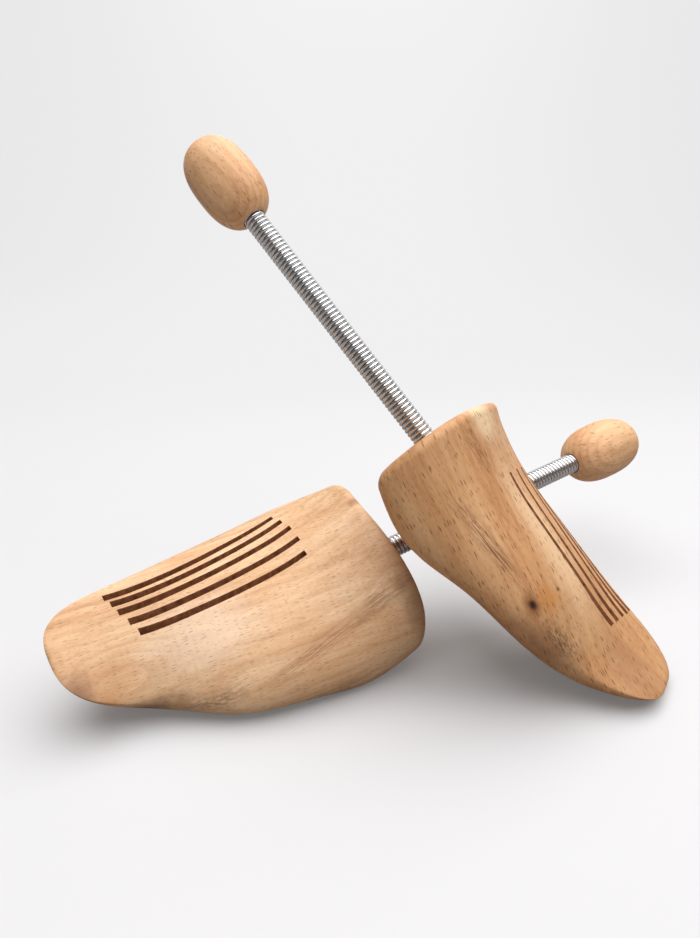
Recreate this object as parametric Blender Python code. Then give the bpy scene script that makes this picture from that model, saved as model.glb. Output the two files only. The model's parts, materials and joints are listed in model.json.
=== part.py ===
# A pair of spiral spring shoe trees in beech and steel, as they lie together on a table.
# The left tree lies on its sole. The right tree leans over it, toe down, its sole across the left spring.
#
# Each tree is drawn in its own frame: the origin is where the spring leaves the forepart's rear face,
# +X points to the toe, +Z to the instep, and +Y to the left. The outer side is at +Y on the left tree
# and at -Y on the right one. Lengths are in metres.

import math

import bmesh
import bpy
import numpy as np
from mathutils import Euler, Matrix, Vector
from mathutils.bvhtree import BVHTree

# Forepart: the solid that fills the front of a shoe
FOREPART_LENGTH = 0.135
FOREPART_WIDTH = 0.088
FOREPART_HEIGHT = 0.064
STATION_SHARES = (0.0, 0.2, 0.4, 0.6, 0.8, 1.0)
OUTER_REACH_SHARES = (0.562, 0.531, 0.478, 0.418, 0.325, 0.360)
INNER_REACH_SHARES = (0.318, 0.465, 0.428, 0.380, 0.367, 0.370)
MIDDLE_HEIGHT_SHARES = (0.072, -0.073, -0.034, 0.009, 0.083, 0.198)
HALF_HEIGHT_SHARES = (0.498, 0.450, 0.366, 0.309, 0.258, 0.092)
TOE_INSET = 0.0063
SECTION_LEAN = math.radians(21.5)
INSTEP_FULLNESS = 2.08
SOLE_FULLNESS = 2.27
SIDE_TAPER_FROM_SHARE = 0.454
SIDE_TAPER_FULLNESS = 2.31
TOE_DROP_FROM_SHARE = 0.7
TOE_DROP_FULLNESS = 2.29
SOLE_FLAT_SHARE = 0.066
SOLE_EDGE_SOFTNESS = 0.0010
STANDING_FLAT_DEPTH = 0.0006
STANDING_FLAT_TILT = math.radians(9.1)
REAR_EDGE_RADIUS = 0.0055
REAR_DOME = 0.0027
LIP_HEIGHT = 0.0014
LIP_LENGTH = 0.0060
LIP_WIDTH = 0.0080

# Air slots, sawn down into the instep
SLOT_COUNT = 5
SLOT_WIDTH = 0.0028
SLOT_SPACING = 0.0062
SLOT_REAR = 0.0294
SLOT_FRONT = 0.1019
SLOT_DEPTH = 0.0130
SLOT_MIDDLE_OFFSET = 0.0042
SLOT_SKEW = math.radians(0.7)

# Spring: a close-wound steel coil, drawn here with fewer and wider spaced curls
SPRING_DIAMETER = 0.0100
WIRE_DIAMETER = 0.0019
SPRING_REACH = 0.1274
SPRING_GRIP_FOREPART = 0.0200
SPRING_GRIP_BALL = 0.0130
SPRING_CURLS = 46

# Heel ball
BALL_LENGTH = 0.0437
BALL_DIAMETER = 0.0293
BALL_FULLNESS = 2.35
BALL_SEAT = 0.0015

# Dowels that wedge the spring's ends in their bores
FOREPART_DOWEL_LENGTH = 0.0180
BALL_DOWEL_LENGTH = 0.0115
DOWEL_TAPER = 0.0003

# Fits
FIT_GAP = 0.0003
DOWEL_GAP = 0.0005
CUT_OVERRUN = 0.0100

# The spring bends at two places, at these shares of its free length
FRONT_BEND_SHARE = 0.4
REAR_BEND_SHARE = 0.8

# How the two trees lie: turned about their own X, then Y, then Z. The left one stands on its sole's flat
LEFT_TREE_TURN = (0.0, STANDING_FLAT_TILT, math.radians(-148.1))
RIGHT_TREE_TURN = (math.radians(-37.7), math.radians(43.6), math.radians(-34.3))
RIGHT_TREE_BESIDE = 0.0295
RIGHT_TREE_BEHIND = 0.0002
FOREPARTS_APART = 0.0010
LEAN_SEARCH_STEPS = 40

# Fineness
RING_POINTS = 44
BODY_RINGS = 20
EDGE_RINGS = 4
DOME_RINGS = 3
BALL_RINGS = 14
BALL_POINTS = 28
BORE_SIDES = 24
DOWEL_SIDES = 16
CURL_POINTS = 8

SMOOTH_ANGLE = math.radians(35)
FINISHES = {
    "beech": ((0.80, 0.57, 0.37, 1.0), 0.55, 0.0),
    "beech_turned": ((0.78, 0.54, 0.34, 1.0), 0.50, 0.0),
    "spring_steel": ((0.62, 0.62, 0.63, 1.0), 0.22, 1.0),
    "dowel_beech": ((0.72, 0.52, 0.35, 1.0), 0.65, 0.0),
}


def clear_scene():
    for old in list(bpy.data.objects):
        bpy.data.objects.remove(old, do_unlink=True)


def finish(name):
    colour, roughness, metallic = FINISHES[name]
    material = bpy.data.materials.get(name) or bpy.data.materials.new(name)
    material.use_nodes = True
    shader = material.node_tree.nodes["Principled BSDF"]
    shader.inputs["Base Color"].default_value = colour
    shader.inputs["Roughness"].default_value = roughness
    shader.inputs["Metallic"].default_value = metallic
    material.diffuse_color = colour
    return material


def empty(name, parent, place, turn=(0.0, 0.0, 0.0)):
    holder = bpy.data.objects.new(name, None)
    bpy.context.collection.objects.link(holder)
    holder.parent = parent
    holder.location = place
    holder.rotation_euler = turn
    return holder


def solid(name, mesh, material, parent, place=(0.0, 0.0, 0.0)):
    piece = bpy.data.objects.new(name, mesh)
    bpy.context.collection.objects.link(piece)
    piece.parent = parent
    piece.location = place
    if material:
        mesh.materials.append(finish(material))
    return piece


def cut(piece, cutter):
    cutter.hide_render = True
    cutter.display_type = "WIRE"
    modifier = piece.modifiers.new("cut_" + cutter.name, "BOOLEAN")
    modifier.operation = "DIFFERENCE"
    modifier.solver = "EXACT"
    modifier.object = cutter


def lofted_mesh(name, rings, first_tip, last_tip):
    """Skin over rings of points, closed at both ends to a single tip point."""
    form = bmesh.new()
    loops = [[form.verts.new(point) for point in ring] for ring in rings]
    count = len(loops[0])
    for near, far in zip(loops, loops[1:]):
        for i in range(count):
            j = (i + 1) % count
            form.faces.new((near[i], near[j], far[j], far[i]))
    for tip, loop in ((first_tip, loops[0]), (last_tip, loops[-1])):
        point = form.verts.new(tip)
        for i in range(count):
            form.faces.new((loop[i], point, loop[(i + 1) % count]))
    bmesh.ops.recalc_face_normals(form, faces=form.faces)
    mesh = bpy.data.meshes.new(name)
    form.to_mesh(mesh)
    form.free()
    mesh.shade_smooth()
    mesh.set_sharp_from_angle(angle=SMOOTH_ANGLE)
    return mesh


def through_stations(shares, at):
    """Natural cubic curve through one value at each station, read at the given shares of the length."""
    places = np.array(STATION_SHARES)
    values = np.array(shares)
    spans = np.diff(places)
    slopes = np.diff(values) / spans
    count = len(places)
    system = np.eye(count)
    right = np.zeros(count)
    for i in range(1, count - 1):
        system[i, i - 1:i + 2] = spans[i - 1], 2 * (spans[i - 1] + spans[i]), spans[i]
        right[i] = 6 * (slopes[i] - slopes[i - 1])
    bends = np.linalg.solve(system, right)
    i = np.clip(np.searchsorted(places, at, side="right") - 1, 0, count - 2)
    ahead, back = places[i + 1] - at, at - places[i]
    return ((bends[i] * ahead ** 3 + bends[i + 1] * back ** 3) / (6 * spans[i])
            + (values[i] / spans[i] - bends[i] * spans[i] / 6) * ahead
            + (values[i + 1] / spans[i] - bends[i + 1] * spans[i] / 6) * back)


def rounded_off(share, start_share, fullness):
    """1 up to the start, then a superellipse quadrant down to 0 at the toe."""
    run = np.clip((share - start_share) / (1 - start_share), 0, 1)
    return (1 - run ** fullness) ** (1 / fullness)


def forepart_section(x, inset, side):
    """Ring of points round the forepart at x, drawn in by inset: an oval that leans outwards, flat below."""
    share = x / FOREPART_LENGTH
    taper = rounded_off(share, SIDE_TAPER_FROM_SHARE, SIDE_TAPER_FULLNESS)
    drop = rounded_off(share, TOE_DROP_FROM_SHARE, TOE_DROP_FULLNESS)
    outer = FOREPART_WIDTH * through_stations(OUTER_REACH_SHARES, share) * taper - inset
    inner = FOREPART_WIDTH * through_stations(INNER_REACH_SHARES, share) * taper - inset
    middle = FOREPART_HEIGHT * through_stations(MIDDLE_HEIGHT_SHARES, share)
    half = FOREPART_HEIGHT * through_stations(HALF_HEIGHT_SHARES, share) * drop - inset
    angle = np.linspace(0, 2 * math.pi, RING_POINTS, endpoint=False)
    across, up = np.cos(angle), np.sin(angle)
    power = 2 / np.where(up >= 0, INSTEP_FULLNESS, SOLE_FULLNESS)
    across = np.sign(across) * np.abs(across) ** power
    up = np.sign(up) * np.abs(up) ** power
    wide = np.where(across >= 0, outer, inner) * across
    high = half * up
    y = wide * math.cos(SECTION_LEAN) + high * math.sin(SECTION_LEAN) - TOE_INSET * share ** 2
    z = high * math.cos(SECTION_LEAN) - wide * math.sin(SECTION_LEAN) + middle
    floor = z.min() + SOLE_FLAT_SHARE * (z.max() - z.min())
    z = floor + SOLE_EDGE_SOFTNESS * np.logaddexp(0, (z - floor) / SOLE_EDGE_SOFTNESS)
    return [Vector((x, side * v, w)) for v, w in zip(y, z)]


def with_lip(ring):
    """Raise the crest at the rear end of the instep into a small lip."""
    crest = max(ring, key=lambda point: point.z)
    for point in ring:
        away = (point.y - crest.y) / LIP_WIDTH
        behind = point.x / LIP_LENGTH
        point.z += LIP_HEIGHT * math.exp(-away ** 2 - behind ** 2) * (point.z > 0)
    return ring


def forepart_rings(side):
    """All rings from the domed rear face, round its edge, to just short of the toe's tip."""
    rim = forepart_section(0.0, REAR_EDGE_RADIUS, side)
    rings = []
    for i in range(DOME_RINGS):
        out = (i + 1) / (DOME_RINGS + 1)
        rings.append([Vector((-REAR_DOME * (1 - out ** 2), p.y * out, p.z * out)) for p in rim])
    for i in range(EDGE_RINGS + 1):
        turn = math.pi / 2 * i / EDGE_RINGS
        x = REAR_EDGE_RADIUS * (1 - math.cos(turn))
        rings.append(with_lip(forepart_section(x, REAR_EDGE_RADIUS * (1 - math.sin(turn)), side)))
    run = FOREPART_LENGTH - REAR_EDGE_RADIUS
    for i in range(1, BODY_RINGS):
        x = REAR_EDGE_RADIUS + run * math.sin(math.pi / 2 * i / BODY_RINGS)
        rings.append(with_lip(forepart_section(x, 0.0, side)))
    return rings


def plane_standing_flat(mesh):
    """Plane the sole flat where the tree stands on it, its rear end higher than its middle."""
    up = Vector((-math.sin(STANDING_FLAT_TILT), 0.0, math.cos(STANDING_FLAT_TILT)))
    form = bmesh.new()
    form.from_mesh(mesh)
    bottom = min(vertex.co.dot(up) for vertex in form.verts)
    cut_through = form.verts[:] + form.edges[:] + form.faces[:]
    made = bmesh.ops.bisect_plane(form, geom=cut_through, plane_co=up * (bottom + STANDING_FLAT_DEPTH),
                                  plane_no=up, clear_inner=True)
    rim = [item for item in made["geom_cut"] if isinstance(item, bmesh.types.BMEdge)]
    bmesh.ops.edgeloop_fill(form, edges=rim)
    bmesh.ops.recalc_face_normals(form, faces=form.faces)
    form.to_mesh(mesh)
    form.free()
    mesh.set_sharp_from_angle(angle=SMOOTH_ANGLE)


def forepart_body(name, side):
    rings = forepart_rings(side)
    toe = sum(rings[-1], Vector()) / RING_POINTS
    toe.x = FOREPART_LENGTH
    mesh = lofted_mesh(name, rings, (-REAR_DOME, 0.0, 0.0), toe)
    plane_standing_flat(mesh)
    return mesh


def height_of(skin, x, y):
    """Height of the instep over a point of the tree's plan."""
    hit, _, _, _ = skin.ray_cast(Vector((x, y, FOREPART_HEIGHT)), Vector((0, 0, -1)))
    return hit.z


def slot_cutter(name, body, index, side):
    """Block as long and wide as one slot, its floor running parallel to the instep above it."""
    form = bmesh.new()
    form.from_mesh(body)
    skin = BVHTree.FromBMesh(form)
    form.free()
    middle = (SLOT_REAR + SLOT_FRONT) / 2
    offset = (index - (SLOT_COUNT - 1) / 2) * SLOT_SPACING - SLOT_MIDDLE_OFFSET
    corners = []
    for x in (SLOT_REAR, SLOT_FRONT):
        y = side * (offset + (x - middle) * math.tan(SLOT_SKEW))
        bottom = height_of(skin, x, y) - SLOT_DEPTH
        for z in (bottom, bottom + SLOT_DEPTH + CUT_OVERRUN):
            for half in (-SLOT_WIDTH / 2, SLOT_WIDTH / 2):
                corners.append(Vector((x, y + half, z)))
    form = bmesh.new()
    points = [form.verts.new(corner) for corner in corners]
    bmesh.ops.convex_hull(form, input=points)
    bmesh.ops.recalc_face_normals(form, faces=form.faces)
    mesh = bpy.data.meshes.new(name)
    form.to_mesh(mesh)
    form.free()
    return mesh


def round_bar(name, start, end, radius, end_radius, sides):
    """Closed round bar along X from start to end."""
    form = bmesh.new()
    turn = Matrix.Rotation(math.copysign(math.pi / 2, end - start), 4, "Y")
    bmesh.ops.create_cone(form, cap_ends=True, segments=sides, radius1=radius, radius2=end_radius,
                          depth=abs(end - start), matrix=turn)
    bmesh.ops.translate(form, verts=form.verts, vec=((start + end) / 2, 0, 0))
    mesh = bpy.data.meshes.new(name)
    form.to_mesh(mesh)
    form.free()
    mesh.shade_smooth()
    mesh.set_sharp_from_angle(angle=SMOOTH_ANGLE)
    return mesh


def ball_body(name):
    """Oval heel ball turned about the spring's axis, its front tip at the origin."""
    length, radius = BALL_LENGTH / 2, BALL_DIAMETER / 2
    rings = []
    for i in range(1, BALL_RINGS):
        turn = math.pi * i / BALL_RINGS
        along = math.copysign(abs(math.cos(turn)) ** (2 / BALL_FULLNESS), math.cos(turn))
        out = radius * math.sin(turn) ** (2 / BALL_FULLNESS)
        rings.append([Vector((-length + length * along, out * math.cos(a), out * math.sin(a)))
                      for a in np.linspace(0, 2 * math.pi, BALL_POINTS, endpoint=False)])
    return lofted_mesh(name, rings, (0.0, 0.0, 0.0), (-BALL_LENGTH, 0.0, 0.0))


def spring_points():
    """Centre line of the wire, from inside the forepart to inside the ball."""
    start = SPRING_GRIP_FOREPART - WIRE_DIAMETER / 2
    end = -SPRING_REACH - SPRING_GRIP_BALL + WIRE_DIAMETER / 2
    radius = (SPRING_DIAMETER - WIRE_DIAMETER) / 2
    count = SPRING_CURLS * CURL_POINTS
    points = []
    for i in range(count + 1):
        turn = 2 * math.pi * i / CURL_POINTS
        x = start + (end - start) * i / count
        points.append(Vector((x, radius * math.cos(turn), radius * math.sin(turn))))
    return points


def least_spring_gap(points):
    """Least space between the wire's turns, measured between points half a curl or more apart."""
    line = np.array(points)
    nearest = min(np.linalg.norm(line[i] - line[i + CURL_POINTS // 2:], axis=1).min()
                  for i in range(len(line) - CURL_POINTS // 2))
    return nearest - WIRE_DIAMETER


def spring_curve(name, points, shift):
    """Round wire along the points, its ends straight over their last chord."""
    curve = bpy.data.curves.new(name, "CURVE")
    curve.dimensions = "3D"
    curve.bevel_depth = WIRE_DIAMETER / 2
    curve.bevel_resolution = 1
    curve.use_fill_caps = True
    line = curve.splines.new("POLY")
    line.points.add(len(points) - 1)
    for target, point in zip(line.points, points):
        target.co = (point.x - shift, point.y, point.z, 1.0)
    line.use_smooth = True
    return curve


def make_forepart(name, side, holder):
    body = forepart_body(name, side)
    piece = solid(name, body, "beech", holder)
    depth = SPRING_GRIP_FOREPART + FIT_GAP
    radius = SPRING_DIAMETER / 2 + FIT_GAP
    bar = round_bar(name + "_bore", -CUT_OVERRUN, depth, radius, radius, BORE_SIDES)
    cut(piece, solid(name + "_bore", bar, None, holder))
    for index in range(SLOT_COUNT):
        label = f"{name}_slot_{index + 1}"
        cut(piece, solid(label, slot_cutter(label, body, index, side), None, holder))
    return piece


def make_ball(name, holder, bend_x):
    tip = -SPRING_REACH + BALL_SEAT - bend_x
    piece = solid(name, ball_body(name), "beech_turned", holder, (tip, 0.0, 0.0))
    bottom = -SPRING_REACH - SPRING_GRIP_BALL - FIT_GAP - bend_x
    radius = SPRING_DIAMETER / 2 + FIT_GAP
    bar = round_bar(name + "_bore", tip + CUT_OVERRUN, bottom, radius, radius, BORE_SIDES)
    cut(piece, solid(name + "_bore", bar, None, holder))
    return piece


def make_dowel(name, holder, bottom, length, direction):
    """Tapered dowel inside the spring, its thick end against the bore's bottom."""
    radius = SPRING_DIAMETER / 2 - WIRE_DIAMETER - DOWEL_GAP
    bar = round_bar(name, bottom, bottom + direction * length, radius, radius - DOWEL_TAPER, DOWEL_SIDES)
    return solid(name, bar, "dowel_beech", holder)


def make_tree(label, side, root, turn):
    """One tree: its frame is an empty, and so is each place where its spring bends."""
    frame = empty(label + "_tree", root, (0.0, 0.0, 0.0), turn)
    front_x = -SPRING_REACH * FRONT_BEND_SHARE
    rear_x = -SPRING_REACH * REAR_BEND_SHARE
    front = empty(label + "_front_bend", frame, (front_x, 0.0, 0.0))
    rear = empty(label + "_rear_bend", front, (rear_x - front_x, 0.0, 0.0))
    forepart = make_forepart(label + "_forepart", side, frame)
    make_dowel(label + "_forepart_dowel", frame, SPRING_GRIP_FOREPART, FOREPART_DOWEL_LENGTH, -1)
    points = spring_points()
    print(label, "spring: least gap to itself", round(least_spring_gap(points) * 1000, 2), "mm")
    spring = bpy.data.objects.new(label + "_spring", spring_curve(label + "_spring", points, front_x))
    bpy.context.collection.objects.link(spring)
    spring.parent = front
    spring.data.materials.append(finish("spring_steel"))
    make_ball(label + "_heel_ball", rear, rear_x)
    bottom = -SPRING_REACH - SPRING_GRIP_BALL - rear_x
    make_dowel(label + "_heel_dowel", rear, bottom, BALL_DOWEL_LENGTH, 1)
    return frame, forepart


def lowest(frame, forepart):
    bpy.context.view_layer.update()
    return min((forepart.matrix_world @ vertex.co).z for vertex in forepart.data.vertices)


def spring_line(frame):
    """Points along the free length of a tree's spring, in world space."""
    count = 64
    return [frame.matrix_world @ Vector((-SPRING_REACH * i / count, 0.0, 0.0)) for i in range(count + 1)]


def lean_on_spring(frame, forepart, left, left_forepart):
    """Slide the right tree along X until it rests on the left tree's spring, clear of the left forepart."""
    line = spring_line(left)
    others = [left_forepart.matrix_world @ vertex.co for vertex in left_forepart.data.vertices]
    skin = BVHTree.FromPolygons([v.co for v in forepart.data.vertices],
                                [p.vertices for p in forepart.data.polygons])
    reach = FOREPART_WIDTH / 2

    def space_to(points, back):
        least = reach
        for point in points:
            local = back @ point
            spot, normal, _, distance = skin.find_nearest(local)
            if (local - spot).dot(normal) < 0:
                distance = -distance
            least = min(least, distance)
        return least

    def clearance(x):
        frame.location.x = x
        bpy.context.view_layer.update()
        back = forepart.matrix_world.inverted()
        return min(space_to(line, back) - SPRING_DIAMETER / 2 - FIT_GAP, space_to(others, back) - FOREPARTS_APART)

    clear = RIGHT_TREE_BESIDE + reach
    pressed = clear
    while clearance(pressed) > 0 and pressed > RIGHT_TREE_BESIDE - reach:
        clear = pressed
        pressed -= reach / LEAN_SEARCH_STEPS
    for _ in range(LEAN_SEARCH_STEPS):
        between = (clear + pressed) / 2
        if clearance(between) > 0:
            clear = between
        else:
            pressed = between
    frame.location.x = clear


def centre_on_base(root):
    """Move the pair so that the origin is at the middle of its footprint, on the table."""
    bpy.context.view_layer.update()
    shapes = bpy.context.evaluated_depsgraph_get()
    points = []
    for piece in bpy.data.objects:
        if piece.type in {"MESH", "CURVE"} and not piece.hide_render:
            shape = piece.evaluated_get(shapes)
            mesh = shape.to_mesh()
            points += [shape.matrix_world @ vertex.co for vertex in mesh.vertices]
            shape.to_mesh_clear()
    for axis in (0, 1):
        values = [point[axis] for point in points]
        root.location[axis] = -(min(values) + max(values)) / 2
    bpy.context.view_layer.update()


def report_joints(label, frame):
    for bend, share in (("front", FRONT_BEND_SHARE), ("rear", REAR_BEND_SHARE)):
        place = frame.matrix_world @ Vector((-SPRING_REACH * share, 0.0, 0.0))
        print(label, bend, "bend at", [round(v, 5) for v in place])
    axis = frame.matrix_world.to_3x3() @ Vector((0.0, 1.0, 0.0))
    print(label, "bend axis", [round(v, 5) for v in axis])
    print(label, "frame origin", [round(v, 5) for v in frame.matrix_world.translation])


def build_pair():
    clear_scene()
    root = empty("pair", None, (0.0, 0.0, 0.0))
    left, left_forepart = make_tree("left", 1, root, LEFT_TREE_TURN)
    right, right_forepart = make_tree("right", -1, root, RIGHT_TREE_TURN)
    left.location.z = -lowest(left, left_forepart)
    right.location = (RIGHT_TREE_BESIDE, RIGHT_TREE_BEHIND, 0.0)
    right.location.z = -lowest(right, right_forepart)
    bpy.context.view_layer.update()
    lean_on_spring(right, right_forepart, left, left_forepart)
    centre_on_base(root)
    for label, frame in (("left", left), ("right", right)):
        report_joints(label, frame)


build_pair()
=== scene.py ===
import json
import math

import bmesh
import bpy
import numpy as np
from mathutils import Euler, Matrix, Vector
from mathutils.bvhtree import BVHTree


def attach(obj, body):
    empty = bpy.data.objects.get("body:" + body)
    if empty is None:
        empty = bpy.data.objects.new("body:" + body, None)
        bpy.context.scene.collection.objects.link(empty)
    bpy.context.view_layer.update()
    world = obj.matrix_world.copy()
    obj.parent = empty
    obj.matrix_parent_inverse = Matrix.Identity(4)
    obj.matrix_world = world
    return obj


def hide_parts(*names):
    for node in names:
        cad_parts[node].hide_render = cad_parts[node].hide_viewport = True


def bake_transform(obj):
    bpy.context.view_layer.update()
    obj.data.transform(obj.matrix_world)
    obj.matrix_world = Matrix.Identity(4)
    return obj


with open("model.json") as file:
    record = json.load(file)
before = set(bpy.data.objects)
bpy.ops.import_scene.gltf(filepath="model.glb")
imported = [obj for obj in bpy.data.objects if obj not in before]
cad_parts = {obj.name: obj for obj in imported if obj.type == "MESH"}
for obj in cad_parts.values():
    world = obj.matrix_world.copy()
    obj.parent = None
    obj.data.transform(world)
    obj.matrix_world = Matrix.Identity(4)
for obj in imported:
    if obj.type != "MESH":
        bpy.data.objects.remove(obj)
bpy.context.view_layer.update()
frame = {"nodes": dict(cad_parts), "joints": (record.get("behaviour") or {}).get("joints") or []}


# Shader maths: a socket that can be added, multiplied and compared like a number

class Wire:
    def __init__(self, tree, socket):
        self.tree = tree
        self.socket = socket

    # any node: its settings first, then the values or links of its sockets
    def node(self, kind, settings=None, values=None, out=0):
        made = self.tree.nodes.new(kind)
        for name, value in (settings or {}).items():
            if name == "stops":
                fillRamp(made.color_ramp, value)
            else:
                setattr(made, name, value)
        for key, value in (values or {}).items():
            if isinstance(value, Wire):
                self.tree.links.new(value.socket, made.inputs[key])
            else:
                made.inputs[key].default_value = value
        return Wire(self.tree, made.outputs[out])

    # another output of the node that this wire comes from
    def beside(self, out):
        return Wire(self.tree, self.socket.node.outputs[out])

    def maths(self, operation, *values, clamp=False):
        settings = {"operation": operation, "use_clamp": clamp}
        return self.node("ShaderNodeMath", settings, dict(enumerate(values)))

    def __add__(self, other):
        return self.maths("ADD", self, other)

    __radd__ = __add__

    def __sub__(self, other):
        return self.maths("SUBTRACT", self, other)

    def __rsub__(self, other):
        return self.maths("SUBTRACT", other, self)

    def __mul__(self, other):
        return self.maths("MULTIPLY", self, other)

    __rmul__ = __mul__

    def __truediv__(self, other):
        return self.maths("DIVIDE", self, other)

    # 0 below low, 1 above high, smooth between; low may be above high
    def ease(self, low, high):
        settings = {"interpolation_type": "SMOOTHSTEP"}
        if low > high:
            return 1 - self.ease(high, low)
        values = {"Value": self, "From Min": low, "From Max": high}
        return self.node("ShaderNodeMapRange", settings, values)

    # vectors
    def scaled(self, by):
        return self.node("ShaderNodeVectorMath", {"operation": "MULTIPLY"}, {0: self, 1: by})

    def moved(self, by):
        return self.node("ShaderNodeVectorMath", {"operation": "ADD"}, {0: self, 1: by})

    def turned(self, by):
        settings = {"rotation_type": "EULER_XYZ"}
        return self.node("ShaderNodeVectorRotate", settings, {"Vector": self, "Rotation": by})

    def length(self):
        return self.node("ShaderNodeVectorMath", {"operation": "LENGTH"}, {0: self}, out="Value")

    # colours
    def tint(self, colour, amount, blend="MIX"):
        settings = {"data_type": "RGBA", "blend_type": blend}
        return self.node("ShaderNodeMix", settings, {0: amount, 6: self, 7: colour}, out=2)

    # patterns, read at this vector
    def noise(self, scale, detail=2.0, rough=0.5, warp=0.0, out=0):
        values = {"Vector": self, "Scale": scale, "Detail": detail, "Roughness": rough, "Distortion": warp}
        return self.node("ShaderNodeTexNoise", {"noise_dimensions": "3D"}, values, out=out)

    def cells(self, scale, spread=1.0):
        values = {"Vector": self, "Scale": scale, "Randomness": spread}
        return self.node("ShaderNodeTexVoronoi", {"feature": "F1"}, values)


def fillRamp(ramp, stops):
    while len(ramp.elements) < len(stops):
        ramp.elements.new(1.0)
    for element, (place, colour) in zip(ramp.elements, stops):
        element.position = place
        element.color = colour


def sRgb(red, green, blue):
    # a colour as a screen shows it, 0 to 255, made linear
    def straight(value):
        value /= 255
        return value / 12.92 if value <= 0.04045 else ((value + 0.055) / 1.055) ** 2.4
    return (straight(red), straight(green), straight(blue), 1.0)


def startMaterial(name):
    material = bpy.data.materials.new(name)
    material.use_nodes = True
    tree = material.node_tree
    shader = tree.nodes["Principled BSDF"]
    here = Wire(tree, tree.nodes.new("ShaderNodeTexCoord").outputs["Object"])
    return material, shader, here


def plug(wire, shader, socket):
    wire.tree.links.new(wire.socket, shader.inputs[socket])


# The two trees' own frames, from the joints: +X to the toe, +Z to the instep

tree = {
    "springReach": 0.1274,      # free length of a spring
    "frontBend": 0.4,           # places of the bends, as shares of it
    "rearBend": 0.8,
}


def treeFrame(label):
    joints = {joint["name"]: joint for joint in frame["joints"]}
    front = Vector(joints[label + "_front_bend"]["pos_m"])
    rear = Vector(joints[label + "_rear_bend"]["pos_m"])
    toToe = (front - rear).normalized()
    across = Vector(joints[label + "_front_bend"]["axis"])
    across = (across - toToe * across.dot(toToe)).normalized()
    up = toToe.cross(across)
    origin = front + toToe * tree["springReach"] * tree["frontBend"]
    turn = Matrix((toToe, across, up)).transposed().to_4x4()
    return Matrix.Translation(origin) @ turn


frames = {"left": treeFrame("left"), "right": treeFrame("right")}
sides = {"left": 1, "right": -1}


def inTree(here, label):
    # the same point in a tree's own frame
    away = here.moved(tuple(-frames[label].translation))
    axes = frames[label].to_3x3().transposed()
    parts = []
    for axis in axes:
        values = {0: away, 1: tuple(axis)}
        parts.append(away.node("ShaderNodeVectorMath", {"operation": "DOT_PRODUCT"}, values, out="Value"))
    return away.node("ShaderNodeCombineXYZ", None, dict(enumerate(parts)))


print("tree frames:", {label: [round(v, 4) for v in m.translation] for label, m in frames.items()})


# Mesh helpers

def pieceFrom(name, form, place, materials):
    mesh = bpy.data.meshes.new(name)
    if place:
        form.transform(place)
    form.to_mesh(mesh)
    form.free()
    piece = bpy.data.objects.new(name, mesh)
    bpy.context.collection.objects.link(piece)
    for material in materials:
        mesh.materials.append(material)
    return piece


def skinOver(rings, firstTip, lastTip):
    # quads between rings of points, closed at both ends by a fan
    form = bmesh.new()
    loops = [[form.verts.new(point) for point in ring] for ring in rings]
    count = len(loops[0])
    for near, far in zip(loops, loops[1:]):
        for i in range(count):
            j = (i + 1) % count
            form.faces.new((near[i], near[j], far[j], far[i]))
    for tip, loop in ((firstTip, loops[0]), (lastTip, loops[-1])):
        point = form.verts.new(tip)
        for i in range(count):
            form.faces.new((loop[i], point, loop[(i + 1) % count]))
    bmesh.ops.recalc_face_normals(form, faces=form.faces)
    for face in form.faces:
        face.smooth = True
    return form


def throughStations(shares, at):
    # natural cubic through one value at each station
    places = np.array(forepart["stations"])
    values = np.array(shares)
    spans = np.diff(places)
    slopes = np.diff(values) / spans
    count = len(places)
    system = np.eye(count)
    right = np.zeros(count)
    for i in range(1, count - 1):
        system[i, i - 1:i + 2] = spans[i - 1], 2 * (spans[i - 1] + spans[i]), spans[i]
        right[i] = 6 * (slopes[i] - slopes[i - 1])
    bends = np.linalg.solve(system, right)
    i = np.clip(np.searchsorted(places, at, side="right") - 1, 0, count - 2)
    ahead, back = places[i + 1] - at, at - places[i]
    return ((bends[i] * ahead ** 3 + bends[i + 1] * back ** 3) / (6 * spans[i])
            + (values[i] / spans[i] - bends[i] * spans[i] / 6) * ahead
            + (values[i + 1] / spans[i] - bends[i + 1] * spans[i] / 6) * back)


def roundedOff(share, start, fullness):
    run = np.clip((share - start) / (1 - start), 0, 1)
    return (1 - run ** fullness) ** (1 / fullness)


# Foreparts: one turned block of beech each, with five sawn slots and a bore for the spring

forepart = {
    "length": 0.1352, "width": 0.088, "height": 0.064,
    "stations": (0.0, 0.2, 0.4, 0.6, 0.8, 1.0),
    "outer": (0.515, 0.522, 0.494, 0.429, 0.288, 0.363),
    "inner": (0.356, 0.463, 0.422, 0.369, 0.306, 0.235),
    "ridge": (0.474, 0.352, 0.317, 0.301, 0.302, 0.341),
    "sole": (-0.410, -0.500, -0.385, -0.325, -0.235, 0.055),
    "ridgeOffset": (0.0115, 0.0275), "keelOffset": 0.0034, "toeInset": 0.0089,
    "outerWidest": (0.414, 0.322), "innerWidest": (0.423, 0.385),
    "outerInstepFullness": (2.44, 1.17), "innerInstepFullness": 2.78,
    "outerSoleFullness": 2.22, "innerSoleFullness": (1.53, 2.03),
    "sideTaper": (0.390, 2.77), "toeDrop": (0.75, 3.04),
    "soleFlat": 0.050, "soleSoft": 0.0010, "lean": math.radians(16.6),
    "standingDepth": 0.0003, "standingTilt": math.radians(9.1),
    "edgeRadius": 0.0047, "dome": 0.0022,
    "lip": (0.0012, 0.0060, 0.0080),       # height, length, width
    "boreRadius": 0.0053, "boreDepth": 0.0203, "borePoints": 64,
    "ringPoints": 160, "bodyRings": 110, "edgeRings": 12, "domeRings": 10,
    "sharp": math.radians(30),             # edges above this angle stay sharp
}

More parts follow.
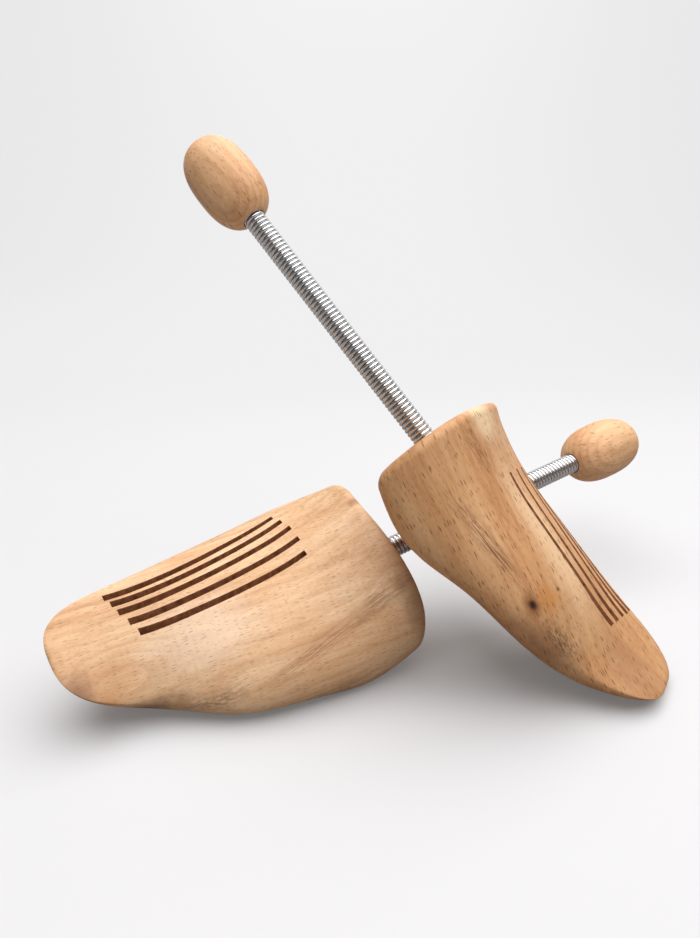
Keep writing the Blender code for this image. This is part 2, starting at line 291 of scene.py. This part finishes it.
# each slot's rear and front end, along and across the tree, from the inner side outwards
slots = {
    "rear": {
        "left": ((0.0331, -0.0190), (0.0312, -0.0142), (0.0299, -0.0087),
                 (0.0300, -0.0018), (0.0313, 0.0055)),
        "right": ((0.0310, -0.0200), (0.0308, -0.0148), (0.0302, -0.0084),
                  (0.0296, 0.0022), (0.0292, 0.0122)),
    },
    "front": {
        "left": ((0.1092, -0.0163), (0.1076, -0.0130), (0.1064, -0.0093),
                 (0.1043, -0.0049), (0.1024, -0.0005)),
        "right": ((0.1060, -0.0180), (0.1055, -0.0140), (0.1043, -0.0096),
                  (0.1033, -0.0045), (0.1024, -0.0001)),
    },
    "bow": 0.0030, "width": 0.0023, "depth": 0.0130,
    "steps": 16, "overrun": 0.0100,
}


def alongTree(ends, share):
    return ends[0] + (ends[1] - ends[0]) * share


def forepartSection(x, inset, side):
    # four quarters between ridge, sides and keel
    share = x / forepart["length"]
    taper = roundedOff(share, *forepart["sideTaper"])
    drop = roundedOff(share, *forepart["toeDrop"])
    outer = forepart["width"] * throughStations(forepart["outer"], share) * taper - inset
    inner = forepart["width"] * throughStations(forepart["inner"], share) * taper - inset
    ridge = forepart["height"] * throughStations(forepart["ridge"], share)
    sole = forepart["height"] * throughStations(forepart["sole"], share)
    middle = (ridge + sole) / 2
    half = (ridge - sole) / 2 * drop - inset
    angle = np.linspace(0, 2 * math.pi, forepart["ringPoints"], endpoint=False)
    across, up = np.cos(angle), np.sin(angle)
    outside, above = across >= 0, up >= 0
    outerInstep = alongTree(forepart["outerInstepFullness"], share)
    innerSole = alongTree(forepart["innerSoleFullness"], share)
    instep = np.where(outside, outerInstep, forepart["innerInstepFullness"])
    under = np.where(outside, forepart["outerSoleFullness"], innerSole)
    power = 2 / np.where(above, instep, under)
    ridgeOffset = alongTree(forepart["ridgeOffset"], share)
    centre = np.where(above, -ridgeOffset * taper, forepart["keelOffset"] * taper)
    widest = middle + half * (2 * np.where(outside, alongTree(forepart["outerWidest"], share),
                                           alongTree(forepart["innerWidest"], share)) - 1)
    y = centre + (np.where(outside, outer, -inner) - centre) * np.abs(across) ** power
    y -= forepart["toeInset"] * share ** 2
    z = widest + (np.where(above, middle + half, middle - half) - widest) * np.abs(up) ** power
    cosine, sine = math.cos(forepart["lean"]), math.sin(forepart["lean"])
    y, z = y * cosine + z * sine, z * cosine - y * sine
    floor = z.min() + forepart["soleFlat"] * (z.max() - z.min())
    soft = forepart["soleSoft"]
    z = floor + soft * np.logaddexp(0, (z - floor) / soft)
    ring = [Vector((x, side * v, w)) for v, w in zip(y, z)]
    if inset < forepart["edgeRadius"]:
        raiseLip(ring, x)
    return ring


def raiseLip(ring, x):
    # the small lip at the rear end of the instep
    height, length, width = forepart["lip"]
    crest = max(ring, key=lambda point: point.z)
    for point in ring:
        away = (point.y - crest.y) / width
        if point.z > 0:
            point.z += height * math.exp(-away ** 2 - (x / length) ** 2)


def forepartForm(side):
    radius, dome = forepart["edgeRadius"], forepart["dome"]
    rim = forepartSection(0.0, radius, side)
    rings = []
    for i in range(forepart["domeRings"]):
        out = (i + 1) / (forepart["domeRings"] + 1)
        rings.append([Vector((-dome * (1 - out ** 2), p.y * out, p.z * out)) for p in rim])
    for i in range(forepart["edgeRings"] + 1):
        turn = math.pi / 2 * i / forepart["edgeRings"]
        rings.append(forepartSection(radius * (1 - math.cos(turn)), radius * (1 - math.sin(turn)), side))
    run = forepart["length"] - radius
    for i in range(1, forepart["bodyRings"]):
        x = radius + run * math.sin(math.pi / 2 * i / forepart["bodyRings"])
        rings.append(forepartSection(x, 0.0, side))
    toe = sum(rings[-1], Vector()) / len(rings[-1])
    toe.x = forepart["length"]
    form = skinOver(rings, (-dome, 0.0, 0.0), toe)
    planeSole(form, side)
    return form


def planeSole(form, side):
    # the small flat that the tree stands on
    turn = Euler((0.0, forepart["standingTilt"], 0.0)).to_matrix()
    up = turn.transposed() @ Vector((0.0, 0.0, 1.0))
    up.y *= side
    bottom = min(vertex.co.dot(up) for vertex in form.verts)
    everything = form.verts[:] + form.edges[:] + form.faces[:]
    made = bmesh.ops.bisect_plane(form, geom=everything, plane_no=up, clear_inner=True,
                                  plane_co=up * (bottom + forepart["standingDepth"]))
    rim = [item for item in made["geom_cut"] if isinstance(item, bmesh.types.BMEdge)]
    bmesh.ops.edgeloop_fill(form, edges=rim)
    bmesh.ops.recalc_face_normals(form, faces=form.faces)


def slotCutter(skin, ends, side):
    # a bent bar whose floor runs parallel to the instep above it
    rings = []
    for step in range(slots["steps"] + 1):
        share = step / slots["steps"]
        x, offset = [alongTree(pair, share) for pair in zip(*ends)]
        y = side * (offset + 4 * slots["bow"] * share * (1 - share))
        hit = skin.ray_cast(Vector((x, y, forepart["height"])), Vector((0, 0, -1)))[0]
        low, high = hit.z - slots["depth"], hit.z + slots["overrun"]
        half = slots["width"] / 2
        rings.append([Vector((x, y - half, low)), Vector((x, y + half, low)),
                      Vector((x, y + half, high)), Vector((x, y - half, high))])
    form = bmesh.new()
    loops = [[form.verts.new(point) for point in ring] for ring in rings]
    for near, far in zip(loops, loops[1:]):
        for i in range(4):
            j = (i + 1) % 4
            form.faces.new((near[i], near[j], far[j], far[i]))
    form.faces.new(loops[0])
    form.faces.new(loops[-1])
    bmesh.ops.recalc_face_normals(form, faces=form.faces)
    return form


def boreCutter():
    form = bmesh.new()
    start, end, radius = -slots["overrun"], forepart["boreDepth"], forepart["boreRadius"]
    turn = Matrix.Rotation(math.pi / 2, 4, "Y")
    bmesh.ops.create_cone(form, cap_ends=True, segments=forepart["borePoints"], matrix=turn,
                          radius1=radius, radius2=radius, depth=end - start)
    bmesh.ops.translate(form, verts=form.verts, vec=((start + end) / 2, 0, 0))
    return form


def sawOut(piece, cutters, wall):
    # cuts every cutter out of the piece; the cut walls take material slot wall
    for cutter in cutters:
        for face in cutter.data.polygons:
            face.material_index = wall
        made = piece.modifiers.new("cut", "BOOLEAN")
        made.operation = "DIFFERENCE"
        made.solver = "EXACT"
        made.object = cutter
    shapes = bpy.context.evaluated_depsgraph_get()
    cutMesh = bpy.data.meshes.new_from_object(piece.evaluated_get(shapes))
    piece.modifiers.clear()
    piece.data = cutMesh
    for cutter in cutters:
        bpy.data.objects.remove(cutter)


def makeForepart(label, wood, burnt):
    side = sides[label]
    form = forepartForm(side)
    skin = BVHTree.FromBMesh(form)
    piece = pieceFrom(label + "_forepart_wood", form, None, [wood, burnt])
    cutters = []
    for ends in zip(slots["rear"][label], slots["front"][label]):
        cutters.append(pieceFrom("slotCutter", slotCutter(skin, ends, side), None, [wood, burnt]))
    cutters.append(pieceFrom("boreCutter", boreCutter(), None, [wood, burnt]))
    sawOut(piece, cutters, 1)
    piece.data.transform(frames[label])
    piece.data.shade_smooth()
    piece.data.set_sharp_from_angle(angle=forepart["sharp"])
    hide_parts(label + "_forepart")
    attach(piece, label + "_forepart")
    return piece


# Heel balls: turned beech, with a bore for the spring

ball = {
    "length": 0.0437, "radius": 0.01465, "fullness": 2.60, "seat": 0.0015,
    "boreRadius": 0.0053, "boreDepth": 0.0133,
    "profileSteps": 60, "points": 128, "sharp": math.radians(40),
}


def makeBall(label, wood):
    half, radius, fullness = ball["length"] / 2, ball["radius"], ball["fullness"]
    tip = -tree["springReach"] + ball["seat"]
    profile = []
    for i in range(ball["profileSteps"] + 1):
        turn = math.pi * i / ball["profileSteps"]
        along = math.copysign(abs(math.cos(turn)) ** (2 / fullness), math.cos(turn))
        out = radius * max(math.sin(turn), 0) ** (2 / fullness)
        if out > ball["boreRadius"] or along < 0:
            profile.append((tip - half + half * along, out))
    bottom = -tree["springReach"] - ball["boreDepth"]
    mouth = profile[0][0]
    profile = [(bottom, ball["boreRadius"]), (mouth, ball["boreRadius"])] + profile[:-1]
    rings = []
    for x, out in profile:
        rings.append([Vector((x, out * math.cos(a), out * math.sin(a)))
                      for a in np.linspace(0, 2 * math.pi, ball["points"], endpoint=False)])
    form = skinOver(rings, (bottom, 0, 0), (tip - ball["length"], 0, 0))
    piece = pieceFrom(label + "_heel_ball_wood", form, frames[label], [wood])
    piece.data.set_sharp_from_angle(angle=ball["sharp"])
    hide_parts(label + "_heel_ball")
    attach(piece, label + "_heel")
    return piece


# Springs: close-wound steel wire, one helix in two lengths that meet between the two bends

spring = {
    "outerRadius": 0.0050, "wire": 0.0019, "pitch": 0.00198,
    "gripForepart": 0.0200, "gripBall": 0.0130,
    "turnPoints": 28, "wirePoints": 10, "sharp": math.radians(60),
    "frontHalf": 0.26, "rearHalf": 0.14,    # shares of the reach from the bends' joints; the two lengths meet frontHalf behind the front bend
}


def helixForm(start, end):
    # wire along a helix about X; the angle depends on x alone, so two lengths meet without a step
    radius = spring["outerRadius"] - spring["wire"] / 2
    rise = spring["pitch"] / (2 * math.pi * radius)
    step = spring["pitch"] / spring["turnPoints"]
    count = max(2, round(abs(end - start) / step))
    rings = []
    for i in range(count + 1):
        x = start + (end - start) * i / count
        turn = 2 * math.pi * x / spring["pitch"]
        out = Vector((0, math.cos(turn), math.sin(turn)))
        along = Vector((-rise, math.sin(turn), -math.cos(turn))).normalized()
        lift = along.cross(out)
        centre = Vector((x, 0, 0)) + out * radius
        ring = []
        for j in range(spring["wirePoints"]):
            a = 2 * math.pi * j / spring["wirePoints"]
            ring.append(centre + (out * math.cos(a) + lift * math.sin(a)) * spring["wire"] / 2)
        rings.append(ring)
    first = sum(rings[0], Vector()) / len(rings[0])
    last = sum(rings[-1], Vector()) / len(rings[-1])
    return skinOver(rings, first, last)


def makeSpring(label, steel):
    place = frames[label]
    reach = tree["springReach"]
    halves = []
    split = -reach * (tree["frontBend"] + spring["frontHalf"])
    frontFrom = -reach * (tree["frontBend"] - spring["frontHalf"])
    rearTo = -reach * (tree["rearBend"] + spring["rearHalf"])
    frontEnd = spring["gripForepart"] - spring["wire"] / 2
    rearEnd = -reach - spring["gripBall"] + spring["wire"] / 2
    spans = (("front", frontEnd, split, "_forepart", "_spring", frontFrom, split),
             ("rear", split, rearEnd, "_spring", "_heel", split, rearTo))
    for part, start, end, bodyA, bodyB, bendFrom, bendTo in spans:
        piece = pieceFrom(f"{label}_spring_{part}_wire", helixForm(start, end), place, [steel])
        piece.data.set_sharp_from_angle(angle=spring["sharp"])
        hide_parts(label + "_spring")
        label + bodyA
        label + bodyB
        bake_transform(piece)
        halves.append(piece)
    return halves


# Beech: growth rings, soft streaks and the short dark dashes of its rays, in each tree's own frame.
# A grain's turn, in degrees, brings X along the fibres and Y out from the pith.
# A bulge closes the rings into loops round its place.

beech = {
    "light": sRgb(246, 212, 173), "middle": sRgb(232, 188, 144), "dark": sRgb(205, 153, 110),
    "late": sRgb(176, 118, 78),
    "toneStops": (0.1, 0.55, 1.0),
    # noise drawn out along the grain; range is the part of it that shows, share its part in the tone
    "broad": {"stretch": 3.0, "noise": (22.0, 2.0, 0.5), "range": (0.3, 0.75), "share": 0.40},
    "streak": {"stretch": 14.0, "noise": (26.0, 3.0, 0.6), "range": (0.3, 0.72), "share": 0.35},
    "fibre": {"stretch": 20.0, "noise": (110.0, 3.0, 0.7), "range": (0.25, 0.75), "share": 0.30},
    # a ring darkens towards its late wood, more in some patches
    "lateRise": (0.35, 0.93), "lateFall": (1.0, 0.95),
    "patchNoise": (30.0, 2.0), "patchRange": (0.35, 0.65), "patchShare": 0.7,
    "wanderNoise": (16.0, 2.0, 0.5), "wander": 0.012, "pithStretch": 0.10,
    "roughness": 0.44, "fibreRoughness": 0.14, "specular": 0.35,
    "fibreHeight": 0.25, "bump": {"Strength": 0.2, "Distance": 0.0002},
}

# soft edges of the marks and dashes
markEdges = {
    "raggedNoise": (220.0, 3.0, 0.6), "ragged": 0.5, "edge": (1.25, 0.45),
    "streakStretch": (1.2, 9.0, 9.0), "streakNoise": (1.0, 3.0, 0.6), "streakRange": (0.38, 0.6),
}
dashEdges = {"deep": 1.2, "edge": (1.15, 0.55), "fewer": 0.15, "shift": 0.37}

leftGrain = {
    "seed": (0.3, 0.1, 0.7), "turn": (-30.0, 5.0, 6.0), "pith": (0.085, -0.012), "ringGap": 0.0042,
    "bulges": [{"place": (0.112, 0.008, 0.005), "size": (0.036, 0.030, 0.020), "height": 0.0140}],
    "paint": (255, 251, 248), "lateAmount": 0.24,
    "dashes": [{"cell": (0.0034, 0.0060, 0.0012), "half": (0.0011, 0.00013), "share": 0.45, "amount": 0.62,
                "colour": sRgb(150, 98, 64)},
               {"cell": (0.0022, 0.0050, 0.0008), "half": (0.0006, 0.00010), "share": 0.6, "amount": 0.42,
                "colour": sRgb(160, 108, 72)}],
    "marks": [
        # paler middle: painted light on the upper side, which faces the lamp
        {"place": (0.085, 0.014, 0.012), "size": (0.034, 0.024, 0.020),
         "colour": sRgb(255, 226, 198), "strength": 0.60},
        # tan toe, with painted shade darkening its underside and its tip
        {"place": (0.128, 0.004, 0.004), "size": (0.026, 0.030, 0.018),
         "colour": sRgb(196, 142, 98), "strength": 0.65},
        {"place": (0.116, 0.014, -0.012), "size": (0.030, 0.024, 0.009), "turn": (0, -0.15, 0),
         "colour": sRgb(128, 92, 68), "strength": 0.75},
        {"place": (0.132, 0.004, 0.005), "size": (0.011, 0.018, 0.009),
         "colour": sRgb(134, 94, 68), "strength": 0.75},
        # darker rear edge
        {"place": (0.004, 0.036, 0.000), "size": (0.008, 0.020, 0.026),
         "colour": sRgb(124, 80, 54), "strength": 0.60},
        # dark grain down the lower rear
        {"place": (0.045, 0.037, -0.003), "size": (0.044, 0.012, 0.0045), "turn": (0, -0.24, 0),
         "colour": sRgb(160, 108, 74), "strength": 0.60, "streaky": True},
        {"place": (0.016, 0.037, 0.006), "size": (0.020, 0.012, 0.0050), "turn": (0, -0.30, 0),
         "colour": sRgb(150, 98, 66), "strength": 0.55, "streaky": True},
        # darker lower edge: brown streaks of the grain, partly real and partly painted shade
        {"place": (0.088, 0.026, -0.011), "size": (0.026, 0.012, 0.0050), "turn": (0, -0.20, 0),
         "colour": sRgb(118, 88, 72), "strength": 0.60, "streaky": True},
        {"place": (0.045, 0.038, -0.024), "size": (0.036, 0.012, 0.0065), "turn": (0, -0.10, 0),
         "colour": sRgb(140, 98, 74), "strength": 0.50, "streaky": True},
        # dimple under the crest
        {"place": (0.0030, -0.0003, 0.0300), "size": (0.0040, 0.0030, 0.0030),
         "colour": sRgb(160, 106, 74), "strength": 0.60},
    ],
}

rightGrain = {
    "seed": (1.3, 2.1, 0.2), "turn": (0.0, -9.0, -4.0), "pith": (-0.080, 0.006), "ringGap": 0.0044,
    "bulges": [{"place": (0.033, -0.032, 0.003), "size": (0.018, 0.020, 0.012), "height": 0.0090}],
    "paint": (232, 214, 194), "lateAmount": 0.26,
    "dashes": [{"cell": (0.0050, 0.0080, 0.0017), "half": (0.0015, 0.00020), "share": 0.40, "amount": 0.85,
                "colour": sRgb(118, 72, 40)},
               {"cell": (0.0030, 0.0060, 0.0011), "half": (0.0009, 0.00013), "share": 0.55, "amount": 0.60,
                "colour": sRgb(140, 90, 54)}],
    "marks": [
        # paler instep side: painted light on the top, which faces the lamp
        {"place": (0.058, -0.014, 0.013), "size": (0.066, 0.015, 0.013),
         "colour": sRgb(250, 214, 172), "strength": 0.55},
        # painted shade: darker sole side and toe, which turn away from the light
        {"place": (0.086, -0.026, -0.014), "size": (0.034, 0.018, 0.008), "turn": (0, 0.15, 0),
         "colour": sRgb(150, 102, 68), "strength": 0.55},
        {"place": (0.120, -0.004, 0.008), "size": (0.028, 0.020, 0.014),
         "colour": sRgb(166, 114, 78), "strength": 0.62},
        # painted light: a paler rear rim, where the top faces up towards the lamp
        {"place": (0.005, -0.020, 0.022), "size": (0.016, 0.018, 0.014),
         "colour": sRgb(255, 228, 186), "strength": 0.65},
        # brown streaks below the rear rim, down the outer side and towards the toe
        {"place": (0.014, -0.031, 0.011), "size": (0.016, 0.014, 0.0042),
         "colour": sRgb(140, 88, 54), "strength": 0.75, "streaky": True},
        {"place": (0.044, -0.038, -0.008), "size": (0.036, 0.014, 0.0046), "turn": (0, 0.06, 0),
         "colour": sRgb(122, 76, 46), "strength": 0.85, "streaky": True},
        {"place": (0.092, -0.024, -0.008), "size": (0.022, 0.012, 0.0050), "turn": (0, 0.10, 0),
         "colour": sRgb(98, 68, 52), "strength": 0.75, "streaky": True},
        # orange patch
        {"place": (0.0745, -0.027, -0.0030), "size": (0.0090, 0.0120, 0.0065),
         "colour": sRgb(206, 140, 76), "strength": 0.75},
        # knot in its halo
        {"place": (0.0724, -0.033, -0.0086), "size": (0.0075, 0.0090, 0.0044),
         "colour": sRgb(138, 84, 46), "strength": 0.80},
        {"place": (0.0724, -0.033, -0.0086), "size": (0.0028, 0.0070, 0.0021),
         "colour": sRgb(52, 26, 14), "strength": 1.0},
        # small spot
        {"place": (0.0748, -0.0227, 0.0032), "size": (0.0014, 0.0050, 0.0011),
         "colour": sRgb(120, 72, 40), "strength": 0.90},
    ],
}

ballGrain = {
    "seed": (4.3, 0.4, 1.2), "turn": (0.0, 3.0, 0.0), "pith": (0.045, 0.012), "ringGap": 0.0030,
    "bulges": [],
    "paint": (255, 242, 230), "lateAmount": 0.30,
    "dashes": [{"cell": (0.0040, 0.0050, 0.0014), "half": (0.0011, 0.00018), "share": 0.7, "amount": 0.60,
                "colour": sRgb(140, 88, 52)}],
    "marks": [],
}


def markOn(colour, here, mark):
    # a knot, stain or streak, and also painted light and shade: a soft-edged patch at a place in the tree's
    # frame
    away = here.moved(tuple(-v for v in mark["place"])).turned(mark.get("turn", (0, 0, 0)))
    away = away.scaled(tuple(1 / v for v in mark["size"]))
    ragged = here.noise(*markEdges["raggedNoise"]) * markEdges["ragged"]
    mask = (away.length() + ragged).ease(*markEdges["edge"]) * mark["strength"]
    if mark.get("streaky"):
        streaks = away.scaled(markEdges["streakStretch"]).noise(*markEdges["streakNoise"])
        mask = mask * streaks.ease(*markEdges["streakRange"])
    return colour.tint(mark["colour"], mask)


def dashMask(where, dash):
    # one thin dash in each long cell, where a ray comes out of the wood
    cell = where.scaled(tuple(1 / v for v in dash["cell"]))
    near = cell.cells(1.0)
    tone = near.beside("Color")
    pick = tone.node("ShaderNodeSeparateColor", None, {0: tone})
    centre = near.beside("Position").scaled((-1.0, -1.0, -1.0))
    length, width = dash["half"]
    shape = (dash["cell"][0] / length, dashEdges["deep"], dash["cell"][2] / width)
    away = cell.node("ShaderNodeVectorMath", {"operation": "ADD"}, {0: cell, 1: centre}).scaled(shape)
    least = 1.0 - dash["share"]
    chosen = pick.ease(least, least + dashEdges["fewer"])
    return away.length().ease(*dashEdges["edge"]) * chosen * dash["amount"]


def ringTurns(here, along, moved, grain):
    # distance from a pith line outside the block, wandering a little, in growth rings
    wander = moved.noise(*beech["wanderNoise"], out="Color").moved((-0.5, -0.5, -0.5))
    wander = wander.scaled((0.0, beech["wander"], beech["wander"]))
    reach = along.moved(wander).moved((0.0, *grain["pith"])).scaled((beech["pithStretch"], 1.0, 1.0)).length()
    for bulge in grain["bulges"]:
        away = here.moved(tuple(-v for v in bulge["place"])).scaled(tuple(1 / v for v in bulge["size"]))
        reach = reach + away.length().ease(1.0, 0.0) * bulge["height"]
    return reach / grain["ringGap"]


def drawnOut(moved, name):
    stretch = beech[name]["stretch"]
    return moved.scaled((1.0, stretch, stretch)).noise(*beech[name]["noise"])


def beechMaterial(name, label, grain):
    material, shader, here = startMaterial(name)
    here = inTree(here, label)
    along = here.turned(tuple(math.radians(v) for v in grain["turn"]))
    moved = along.moved(grain["seed"])
    turns = ringTurns(here, along, moved, grain)
    ring = turns.maths("FRACT", turns)
    late = ring.ease(*beech["lateRise"]) * ring.ease(*beech["lateFall"])
    layers = {layer: drawnOut(moved, layer) for layer in ("broad", "streak", "fibre")}
    fibre = layers["fibre"]
    shown = [wire.ease(*beech[layer]["range"]) * beech[layer]["share"] for layer, wire in layers.items()]
    tone = shown[0] + shown[1] + shown[2]
    stops = list(zip(beech["toneStops"], (beech["light"], beech["middle"], beech["dark"])))
    colour = tone.node("ShaderNodeValToRGB", {"stops": stops}, {"Fac": tone})
    colour = colour.tint(sRgb(*grain["paint"]), 1.0, blend="MULTIPLY")
    patchy = moved.noise(*beech["patchNoise"]).ease(*beech["patchRange"])
    patchy = patchy * beech["patchShare"] + (1 - beech["patchShare"])
    colour = colour.tint(beech["late"], late * patchy * grain["lateAmount"])
    for mark in grain["marks"]:
        colour = markOn(colour, here, mark)
    height = fibre * beech["fibreHeight"]
    for number, dash in enumerate(grain["dashes"]):
        mask = dashMask(moved.moved((number * dashEdges["shift"], 0.0, 0.0)), dash)
        colour = colour.tint(dash["colour"], mask)
        height = height - mask
    plug(colour, shader, "Base Color")
    plug(beech["roughness"] + fibre * beech["fibreRoughness"], shader, "Roughness")
    plug(height.node("ShaderNodeBump", None, {"Height": height, **beech["bump"]}), shader, "Normal")
    shader.inputs["Specular IOR Level"].default_value = beech["specular"]
    return material


burnt = {
    "dark": sRgb(116, 62, 34), "light": sRgb(186, 120, 76), "stops": (0.3, 0.75),
    "stretch": (1.0, 6.0, 2.0), "noise": (140.0, 4.0, 0.6),
    "roughness": 0.7, "bump": {"Strength": 0.3, "Distance": 0.0002},
}


def burntMaterial():
    # slot walls, browned by the saw
    material, shader, here = startMaterial("burnt_beech")
    scorch = here.scaled(burnt["stretch"]).noise(*burnt["noise"])
    stops = list(zip(burnt["stops"], (burnt["dark"], burnt["light"])))
    plug(scorch.node("ShaderNodeValToRGB", {"stops": stops}, {"Fac": scorch}), shader, "Base Color")
    shader.inputs["Roughness"].default_value = burnt["roughness"]
    plug(scorch.node("ShaderNodeBump", None, {"Height": scorch, **burnt["bump"]}), shader, "Normal")
    return material


steel = {
    "bright": sRgb(226, 226, 228), "dull": sRgb(190, 189, 188), "stops": (0.3, 0.8),
    "noise": (900.0, 3.0, 0.6), "roughness": 0.16, "wearRoughness": 0.12,
}


def steelMaterial():
    material, shader, here = startMaterial("spring_steel_wire")
    wear = here.noise(*steel["noise"])
    stops = list(zip(steel["stops"], (steel["bright"], steel["dull"])))
    plug(wear.node("ShaderNodeValToRGB", {"stops": stops}, {"Fac": wear}), shader, "Base Color")
    shader.inputs["Metallic"].default_value = 1.0
    plug(wear * steel["wearRoughness"] + steel["roughness"], shader, "Roughness")
    return material


# Floor and backdrop: one pale sheet that curves up far behind

studio = {
    "paper": sRgb(201, 200, 201), "glow": 0.15, "roughness": 0.9, "specular": 0.1,
    "bounce": sRgb(150, 146, 144),          # what the paper throws back at the object
    "far": sRgb(240, 240, 240), "side": sRgb(233, 233, 234), "top": sRgb(247, 247, 247),
    "sweepStart": 1.2, "sweepRadius": 0.8, "wallTop": 3.0, "halfWidth": 3.0, "near": -3.0,
    "steps": 40, "fadeBehind": (0.16, 0.55), "fadeAround": (0.6, 1.3),
    "aside": (0.1, 0.9), "above": (0.2, 1.2),
}


def makeStudio(origin):
    material, shader, here = startMaterial("studio_paper")
    shader.inputs["Base Color"].default_value = studio["paper"]
    shader.inputs["Roughness"].default_value = studio["roughness"]
    shader.inputs["Specular IOR Level"].default_value = studio["specular"]
    shader.inputs["Emission Color"].default_value = studio["far"]
    shader.inputs["Emission Strength"].default_value = studio["glow"]
    # far off, the camera and the steel see an even pale grey in place of the lit paper
    parts = here.node("ShaderNodeSeparateXYZ", None, {0: here})
    x, y, z = [parts.beside(i) for i in range(3)]
    aside = x.maths("ABSOLUTE", x).ease(*studio["aside"])
    colours = {0: aside, 6: studio["far"], 7: studio["side"]}
    pale = aside.node("ShaderNodeMix", {"data_type": "RGBA"}, colours, out=2)
    pale = pale.tint(studio["top"], z.ease(*studio["above"]) * (1 - aside))
    light = pale.node("ShaderNodeEmission", None, {"Color": pale})
    path = here.node("ShaderNodeLightPath")
    seen = path.maths("MAXIMUM", path, path.beside("Is Glossy Ray"))
    behind = y.ease(*studio["fadeBehind"])
    factor = seen * behind.maths("MAXIMUM", behind, here.length().ease(*studio["fadeAround"]))
    dull = here.node("ShaderNodeBsdfDiffuse", None, {"Color": studio["bounce"]})
    paper = dull.node("ShaderNodeMixShader", None, {0: path, 1: dull, 2: Wire(here.tree, shader.outputs[0])})
    mixed = paper.node("ShaderNodeMixShader", None, {0: factor, 1: paper, 2: light})
    here.tree.links.new(mixed.socket, here.tree.nodes["Material Output"].inputs["Surface"])
    line = [(origin.y + studio["near"], 0.0)]
    start, radius = origin.y + studio["sweepStart"], studio["sweepRadius"]
    for i in range(studio["steps"] + 1):
        turn = math.pi / 2 * i / studio["steps"]
        line.append((start + radius * math.sin(turn), radius * (1 - math.cos(turn))))
    line.append((start + radius, studio["wallTop"]))
    form = bmesh.new()
    rows = [[form.verts.new((side * studio["halfWidth"], y, z)) for side in (-1, 1)] for y, z in line]
    for near, far in zip(rows, rows[1:]):
        form.faces.new((near[0], near[1], far[1], far[0])).smooth = True
    sheet = pieceFrom("studio_sheet", form, Matrix.Identity(4), [material])
    return sheet


lamps = {
    "key": {"place": (0.15, 0.06, 1.30), "size": (2.2, 2.2), "watts": 41.0},
    "fill": {"place": (0.9, -0.9, 0.9), "size": (0.9, 0.9), "watts": 0.4},
    "world": 0.16,
}


def makeLamp(name, target):
    values = lamps[name]
    data = bpy.data.lights.new(name, "AREA")
    data.shape = "RECTANGLE"
    data.size, data.size_y = values["size"]
    data.energy = values["watts"]
    lamp = bpy.data.objects.new(name, data)
    bpy.context.collection.objects.link(lamp)
    lamp.location = values["place"]
    lamp.rotation_euler = (target - lamp.location).to_track_quat("-Z", "Y").to_euler()
    return lamp


def makeWorld():
    # dim for light on the object, pale where the camera sees it
    world = bpy.data.worlds.new("studio_world")
    world.use_nodes = True
    tree = world.node_tree
    sky = tree.nodes["Background"]
    sky.inputs["Color"].default_value = studio["far"]
    seen = Wire(tree, tree.nodes.new("ShaderNodeLightPath").outputs["Is Camera Ray"])
    strength = seen * (1 - lamps["world"]) + lamps["world"]
    tree.links.new(strength.socket, sky.inputs["Strength"])
    bpy.context.scene.world = world


camera = {
    "beside": -0.0079, "before": -0.3010,   # from the left tree's origin
    "height": 0.1980,                       # from the table
    "down": math.radians(21.47), "focalPixels": 762.2, "frameHeightPixels": 938,
    "sensor": 36.0, "clipStart": 0.01,
}


def makeCamera(origin):
    data = bpy.data.cameras.new("camera")
    data.sensor_fit = "VERTICAL"
    data.sensor_height = camera["sensor"]
    data.lens = camera["focalPixels"] / camera["frameHeightPixels"] * camera["sensor"]
    data.clip_start = camera["clipStart"]
    eye = bpy.data.objects.new("camera", data)
    bpy.context.collection.objects.link(eye)
    eye.location = (origin.x + camera["beside"], origin.y + camera["before"], camera["height"])
    eye.rotation_euler = (math.pi / 2 - camera["down"], 0.0, 0.0)
    bpy.context.scene.camera = eye


# The model

burntWood = burntMaterial()
wireSteel = steelMaterial()
leftWood = beechMaterial("left_beech", "left", leftGrain)
rightWood = beechMaterial("right_beech", "right", rightGrain)
print("finishes made")

for label, wood in (("left", leftWood), ("right", rightWood)):
    ballWood = beechMaterial(label + "_ball_beech", label, ballGrain)
    makeForepart(label, wood, burntWood)
    print(label, "forepart made")
    makeBall(label, ballWood)
    makeSpring(label, wireSteel)
    for end in ("forepart", "heel"):
        dowel = frame["nodes"][f"{label}_{end}_dowel"]
        dowel.data.materials.clear()
        dowel.data.materials.append(ballWood)
print("pieces made")

leftOrigin = frames["left"].translation
makeStudio(leftOrigin)
makeLamp("key", leftOrigin)
makeLamp("fill", leftOrigin)
makeWorld()
makeCamera(leftOrigin)
bpy.context.scene.view_settings.view_transform = "Standard"
print("studio made")
